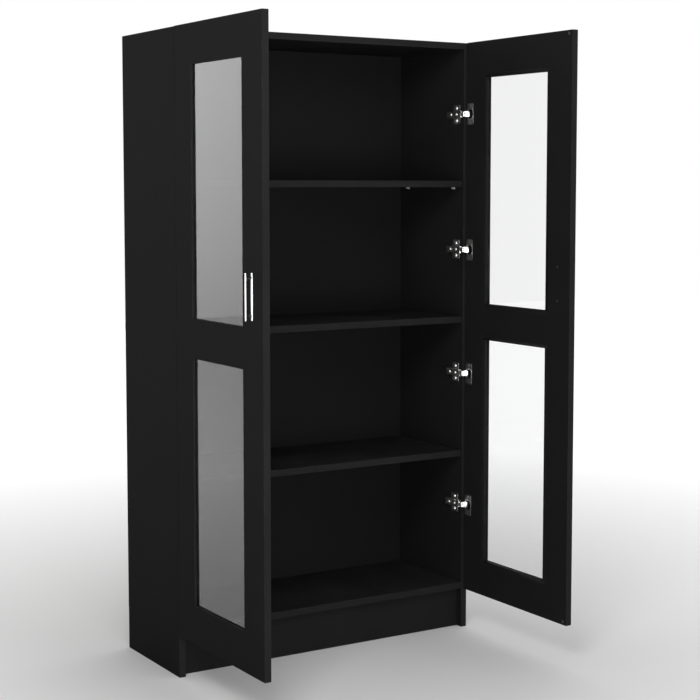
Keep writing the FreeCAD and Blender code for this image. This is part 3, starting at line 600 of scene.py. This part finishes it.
def setter_tree():
    """Geometry Nodes tree: one fastener on each point, all laid one way, each twisted its own way."""
    tree = bpy.data.node_groups.new("fastener_setter", "GeometryNodeTree")
    inputs = (("Points", "NodeSocketGeometry"), ("Fastener", "NodeSocketObject"),
              ("Lay", "NodeSocketVector"), ("Twist", "NodeSocketFloat"), ("Seed", "NodeSocketInt"),
              ("Finish", "NodeSocketMaterial"))
    for label, kind in inputs:
        tree.interface.new_socket(label, in_out="INPUT", socket_type=kind)
    tree.interface.new_socket("Geometry", in_out="OUTPUT", socket_type="NodeSocketGeometry")
    given = tree.nodes.new("NodeGroupInput").outputs
    wanted = tree.nodes.new("NodeGroupOutput").inputs
    source = tree.nodes.new("GeometryNodeObjectInfo")
    setter = tree.nodes.new("GeometryNodeInstanceOnPoints")
    lay = tree.nodes.new("FunctionNodeEulerToRotation")
    chance = tree.nodes.new("FunctionNodeRandomValue")
    chance.data_type = "FLOAT"
    about_axis = tree.nodes.new("ShaderNodeCombineXYZ")
    twist = tree.nodes.new("FunctionNodeEulerToRotation")
    turn = tree.nodes.new("GeometryNodeRotateInstances")
    real = tree.nodes.new("GeometryNodeRealizeInstances")
    paint = tree.nodes.new("GeometryNodeSetMaterial")
    chance_out = [socket for socket in chance.outputs if socket.type == "VALUE"][0]
    chance_low, chance_high = [socket for socket in chance.inputs
                               if socket.type == "VALUE" and socket.name in ("Min", "Max")][:2]
    chance_low.default_value = 0.0
    links = (
        (given["Fastener"], source.inputs["Object"]),
        (given["Points"], setter.inputs["Points"]),
        (source.outputs["Geometry"], setter.inputs["Instance"]),
        (given["Lay"], lay.inputs["Euler"]),
        (lay.outputs["Rotation"], setter.inputs["Rotation"]),
        (given["Twist"], chance_high),
        (given["Seed"], chance.inputs["Seed"]),
        (chance_out, about_axis.inputs["Z"]),
        (about_axis.outputs["Vector"], twist.inputs["Euler"]),
        (twist.outputs["Rotation"], turn.inputs["Rotation"]),
        (setter.outputs["Instances"], turn.inputs["Instances"]),
        (turn.outputs["Instances"], real.inputs["Geometry"]),
        (real.outputs["Geometry"], paint.inputs["Geometry"]),
        (given["Finish"], paint.inputs["Material"]),
        (paint.outputs["Geometry"], wanted["Geometry"]),
    )
    for source_socket, target_socket in links:
        tree.links.new(source_socket, target_socket)
    return tree


SETTER = setter_tree()
# turns that point a fastener's head, drawn looking up +Z, along an axis
LAY = {
    "+x": (0, math.pi / 2, 0),
    "-x": (0, -math.pi / 2, 0),
    "+y": (-math.pi / 2, 0, 0),
}


def head_spots(node, facing, proud):
    """Middle of each solid's outermost face, on the side that it faces, raised by proud."""
    axis = "xyz".index(facing[1])
    spots = []
    for low, high in solids_of(node):
        spot = (low + high) / 2
        spot[axis] = high[axis] + proud if facing[0] == "+" else low[axis] - proud
        spots.append(spot)
    return spots


def fasteners(node, facing, master, seed, twist=2 * math.pi, proud=0.0):
    """Set a detailed fastener wherever the node has one."""
    points = bpy.data.meshes.new(node + "_points")
    points.from_pydata(head_spots(node, facing, proud), [], [])
    holder = bpy.data.objects.new(node + "_holder", points)
    setter = holder.modifiers.new("setter", "NODES")
    setter.node_group = SETTER
    values = {"Fastener": master, "Lay": LAY[facing], "Twist": twist, "Seed": seed,
              "Finish": FINISHES[SLOT_OF[node]]}
    for item in SETTER.interface.items_tree:
        if item.in_out == "INPUT" and item.name in values:
            setter[item.identifier] = values[item.name]
    show(holder)
    depsgraph = bpy.context.evaluated_depsgraph_get()
    mesh = bpy.data.meshes.new_from_object(holder.evaluated_get(depsgraph))
    bpy.data.objects.remove(holder)
    return stands_for(show(bpy.data.objects.new(node + "_set", mesh)), node)


SCREW_SIDES = 28
NAIL_SIDES = 20
PAD_SIDES = 28
PAD_STEPS = 6

# domed is the share of the head's rise that its crown takes
WING_SCREW = {"head_radius": 4.4 * MM, "head_rise": 2.2 * MM, "shank_radius": 2.5 * MM,
              "length": 14.0 * MM, "domed": 0.8}
ARM_SCREW = {"head_radius": 3.6 * MM, "head_rise": 1.6 * MM, "shank_radius": 2.4 * MM,
             "length": 8.9 * MM, "domed": 0.7}
CUP_SCREW = {"head_radius": 3.3 * MM, "head_rise": 0.3 * MM, "shank_radius": 1.75 * MM,
             "length": 12.3 * MM, "domed": 0.35}
GRIP_SCREW = {"head_radius": 4.0 * MM, "head_rise": 2.2 * MM, "shank_radius": 2.0 * MM,
              "length": 26.0 * MM, "domed": 0.12}
PANEL_NAIL = {"head_radius": 1.8 * MM, "head_rise": 0.8 * MM, "shank_radius": 0.8 * MM,
              "length": 18.8 * MM}
PAD = {"radius": 4.0 * MM, "rise": 1.3 * MM}
WING_PROUD = 1.0 * MM
INWARD = {"left": "+x", "right": "-x"}
SEEDS = {"plate_screws": 11, "arm_screws": 21, "cup_screws": 31, "handle_screws": 41,
         "door_bumpers": 51, "back_nails": 61}


def master(name, profile, sides):
    """Turned object that fasteners are copied from; it isn't shown itself."""
    mesh = bpy.data.meshes.new(name)
    bm = lathe(profile, sides)
    bm.to_mesh(mesh)
    bm.free()
    mesh.shade_smooth()
    mesh.set_sharp_from_angle(angle=math.radians(SMOOTH_UNDER))
    return bpy.data.objects.new(name, mesh)


def screw(name, head_radius, head_rise, shank_radius, length, domed):
    """Pointed screw with its domed head's top at height 0."""
    tip = shank_radius * 0.35
    crest = head_rise * domed
    return master(name, [
        (0, -length), (tip, -length), (shank_radius, -length + 2 * shank_radius),
        (shank_radius, -head_rise), (head_radius * 0.96, -head_rise),
        (head_radius, -head_rise * 0.85), (head_radius, -head_rise * 0.6),
        (head_radius * 0.94, -crest), (head_radius * 0.78, -crest * 0.35),
        (head_radius * 0.5, -crest * 0.08), (0, 0),
    ], SCREW_SIDES)


def nail(name, head_radius, head_rise, shank_radius, length):
    """Round-headed panel nail with its head's top at height 0."""
    return master(name, [
        (0, -length), (shank_radius, -length + 3 * shank_radius), (shank_radius, -head_rise),
        (head_radius * 0.9, -head_rise), (head_radius, -head_rise * 0.6),
        (head_radius * 0.85, -head_rise * 0.15), (head_radius * 0.45, 0), (0, 0),
    ], NAIL_SIDES)


def bumper(name, radius, rise):
    """Small domed pad on a flat foot, with its crown at height 0."""
    dome = rise * 0.85
    profile = [(0, -rise), (radius * 0.96, -rise), (radius, -dome)]
    for step in range(1, PAD_STEPS):
        angle = math.pi / 2 * step / PAD_STEPS
        profile.append((radius * math.cos(angle), -dome * (1 - math.sin(angle))))
    profile.append((0, 0))
    return master(name, profile, PAD_SIDES)


def all_fasteners():
    """Screws, nails and pads, each kind from one master."""
    wing = screw("wing_screw", **WING_SCREW)
    arm = screw("arm_screw", **ARM_SCREW)
    cup = screw("cup_screw", **CUP_SCREW)
    grip = screw("grip_screw", **GRIP_SCREW)
    pad = bumper("pad", **PAD)
    for turn, (side, inward) in enumerate(INWARD.items()):
        fasteners(side + "_plate_screws", inward, wing, SEEDS["plate_screws"] + turn, proud=WING_PROUD)
        fasteners(side + "_arm_screws", inward, arm, SEEDS["arm_screws"] + turn)
        fasteners(side + "_cup_screws", inward, cup, SEEDS["cup_screws"] + turn)
        fasteners(side + "_handle_screws", inward, grip, SEEDS["handle_screws"] + turn)
        fasteners(side + "_door_bumpers", inward, pad, SEEDS["door_bumpers"] + turn, twist=0.0)
    fasteners("back_nails", "+y", nail("panel_nail", **PANEL_NAIL), SEEDS["back_nails"])


# ---------------------------------------------------------------- handles

GRIP_WIDTH = 5.2 * MM
GRIP_THICK = 1.8 * MM
GRIP_END_SHARE = 0.9
FOOT_RADIUS = 1.9 * MM
FOOT_FLARE = 0.7 * MM
FOOT_SIDES = 32
BASE_WIDTH = 7.6 * MM
BASE_END_SHARE = 0.68
CORNER_POWER = 0.4
END_ROUNDING = 0.35
END_PINCH = 0.72
SPINDLE_ROWS = 24
SPINDLE_SIDES = 20


def spindle(middle_width, end_width, length, thick):
    """Slim bar along Z that swells towards its middle, with softly rounded corners and ends."""
    rings = []
    half = length / 2
    curve = (half * half + ((middle_width - end_width) / 2) ** 2) / (middle_width - end_width)
    for row in range(SPINDLE_ROWS + 1):
        height = -half * math.cos(math.pi * row / SPINDLE_ROWS)
        width = middle_width - 2 * (curve - math.sqrt(curve * curve - height * height))
        end = min(1.0, (half - abs(height)) / (END_ROUNDING * thick))
        pinch = END_PINCH + (1 - END_PINCH) * math.sqrt(1 - (1 - end) ** 2)
        ring = []
        for step in range(SPINDLE_SIDES):
            angle = 2 * math.pi * (step + 0.5) / SPINDLE_SIDES
            side = math.cos(angle)
            out = math.sin(angle)
            across = math.copysign(abs(side) ** CORNER_POWER, side) * width / 2 * pinch
            deep = math.copysign(abs(out) ** CORNER_POWER, out) * thick / 2 * pinch
            ring.append((deep, across, height))
        rings.append(ring)
    return loft(rings)


def foot(length):
    """Round foot along Z, flared a little where it meets the grip and the base."""
    near_end = FOOT_RADIUS + FOOT_FLARE * 0.3
    straight_from = FOOT_FLARE * 1.3
    profile = [(0, 0), (FOOT_RADIUS + FOOT_FLARE, 0), (near_end, FOOT_FLARE * 0.5),
               (FOOT_RADIUS, straight_from), (FOOT_RADIUS, length - straight_from),
               (near_end, length - FOOT_FLARE * 0.5), (FOOT_RADIUS, length), (0, length)]
    return lathe(profile, FOOT_SIDES)


def handle(side):
    """Grip on its two feet, and the slim base that lies on the door."""
    sign = SIDES[side]
    low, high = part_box(side + "_handle")
    base_low, base_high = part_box(side + "_handle_base")
    middle = (low + high) / 2
    outer = high.x if sign > 0 else low.x
    base_face = base_high.x if sign > 0 else base_low.x
    finish = [FINISHES["chrome_handle"]]
    length = high.z - low.z

    grip = spindle(GRIP_WIDTH, GRIP_WIDTH * GRIP_END_SHARE, length, GRIP_THICK)
    grip.transform(Matrix.Translation((outer - sign * GRIP_THICK / 2, middle.y, middle.z)))
    reach = abs(outer - base_face) - GRIP_THICK / 2
    for screw_low, screw_high in solids_of(side + "_handle_screws"):
        stem = foot(reach)
        stem.transform(Matrix.Translation((base_face, middle.y, (screw_low.z + screw_high.z) / 2))
                       @ Matrix.Rotation(sign * math.pi / 2, 4, "Y"))
        join_into(grip, stem)
    stands_for(piece_from(side + "_grip", grip, finish, GRIP_SMOOTH_UNDER), side + "_handle")

    base_thick = base_high.x - base_low.x
    base = spindle(BASE_WIDTH, BASE_WIDTH * BASE_END_SHARE, length, base_thick)
    base.transform(Matrix.Translation((base_low + base_high) / 2))
    stands_for(piece_from(side + "_grip_base", base, finish, GRIP_SMOOTH_UNDER), side + "_handle_base")


# ---------------------------------------------------------------- stage

def floor():
    """Wide pale floor that is no part of the cabinet; darker round it as a painted shadow, and glowing
    further out as painted light.
    """
    bm = bmesh.new()
    bmesh.ops.create_grid(bm, x_segments=1, y_segments=1, size=FLOOR_HALF)
    # the floor's emission is painted light, a glow that grows with distance from the cabinet
    finish = Finish("floor_painted_shadow_glow", Specular_IOR_Level=0.0, Roughness=0.9, Emission_Strength=1.0)
    away = put(finish.tree, "ShaderNodeVectorMath")
    away.operation = "LENGTH"
    finish.tree.links.new(finish.place, away.inputs[0])
    shadow_to_glow = spread(finish.tree, away.outputs["Value"], FLOOR_SHADOW_FADES_FROM, FLOOR_SHADOW_GONE_AT)
    # darker base colour near the cabinet: a painted soft shadow, fading out with distance
    finish.feed("Base Color", finish.blend(shadow_to_glow, (FLOOR_PAINTED_SHADOW,) * 3, (FLOOR_FAR,) * 3))
    finish.feed("Emission Color", finish.blend(shadow_to_glow, (0.0, 0.0, 0.0), (FLOOR_PAINTED_GLOW,) * 3))
    piece_from("floor", bm, [finish.material])


def lamp(name, place, aim, size, power):
    """Rectangular soft light that looks from its place towards its aim."""
    light = bpy.data.lights.new(name, "AREA")
    light.shape = "RECTANGLE"
    light.size, light.size_y = size
    light.energy = power
    holder = show(bpy.data.objects.new(name, light))
    holder.location = place
    holder.rotation_euler = (Vector(aim) - Vector(place)).to_track_quat("-Z", "Y").to_euler()


def sky():
    """White to look at and through; as light, dimmer on the left, with a glow for the panes to mirror."""
    world = bpy.data.worlds.new("studio")
    world.use_nodes = True
    tree = world.node_tree
    background = tree.nodes["Background"]
    background.inputs["Color"].default_value = (1.0, 1.0, 1.0, 1.0)
    direction = put(tree, "ShaderNodeTexCoord").outputs["Generated"]
    towards = put(tree, "ShaderNodeVectorMath")
    towards.operation = "DOT_PRODUCT"
    towards.inputs[1].default_value = Vector(GLOW_TOWARDS).normalized()
    tree.links.new(direction, towards.inputs[0])
    glow = spread(tree, towards.outputs["Value"], GLOW_EDGE, 1.0, 0.0, GLOW_WHITE)
    parts = put(tree, "ShaderNodeSeparateXYZ")
    tree.links.new(direction, parts.inputs["Vector"])
    white = spread(tree, parts.outputs["X"], SKY_LEFT_UP_TO, SKY_WHITE_FROM, SKY_LEFT, SKY_WHITE)
    lighting = combine(tree, glow, white, "ADD")
    ray = put(tree, "ShaderNodeLightPath")
    seen = combine(tree, ray.outputs["Is Camera Ray"], ray.outputs["Is Transmission Ray"], "MAXIMUM")
    tree.links.new(spread(tree, seen, 0.0, 1.0, lighting, SKY_WHITE), background.inputs["Strength"])
    bpy.context.scene.world = world
    bpy.context.scene.view_settings.view_transform = "Standard"


def camera():
    """The one view that the scene is set up for."""
    lens = bpy.data.cameras.new("camera")
    lens.lens = CAMERA_LENS
    lens.sensor_width = CAMERA_SENSOR
    lens.shift_y = CAMERA_SHIFT
    holder = show(bpy.data.objects.new("camera", lens))
    holder.location = CAMERA_PLACE
    holder.rotation_euler = (math.radians(90 - CAMERA_DOWN), 0, -math.radians(CAMERA_TURN))
    bpy.context.scene.camera = holder


# ---------------------------------------------------------------- put it together

def paint_cad():
    """Give every CAD node its finish; some are then stood for by a detailed piece."""
    for node, piece in frame["nodes"].items():
        piece.data.materials.clear()
        piece.data.materials.append(FINISHES[SLOT_OF[node]])


def build():
    camera()
    paint_cad()
    for node in BOARDS:
        board(node)
    back_panel("lower_back_panel")
    back_panel("upper_back_panel")
    softened("back_joining_strip", BACK_EASE, "back_strip")
    softened("cam_caps", CAP_EASE, "caps")
    softened("shelf_pins", PIN_EASE, "pins")
    all_fasteners()
    for side in SIDES:
        handle(side)
        softened(side + "_lower_pane", PANE_EASE, side + "_lower_sheet", 1, None)
        softened(side + "_upper_pane", PANE_EASE, side + "_upper_sheet", 1, None)
        softened(side + "_pane_beads", BEAD_EASE, side + "_beads")
        softened(side + "_hinge_plates", PLATE_EASE, side + "_plates", 3)
        softened(side + "_hinge_arms", ARM_EASE, side + "_arms", 4)
        softened(side + "_hinge_links", LINK_EASE, side + "_links_formed")
        hinge_cups(side)
    floor()
    sky()
    lamp("key_softbox", KEY_PLACE, KEY_AIM, KEY_SIZE, KEY_POWER)
    lamp("front_softbox", FILL_PLACE, FILL_AIM, FILL_SIZE, FILL_POWER)


build()
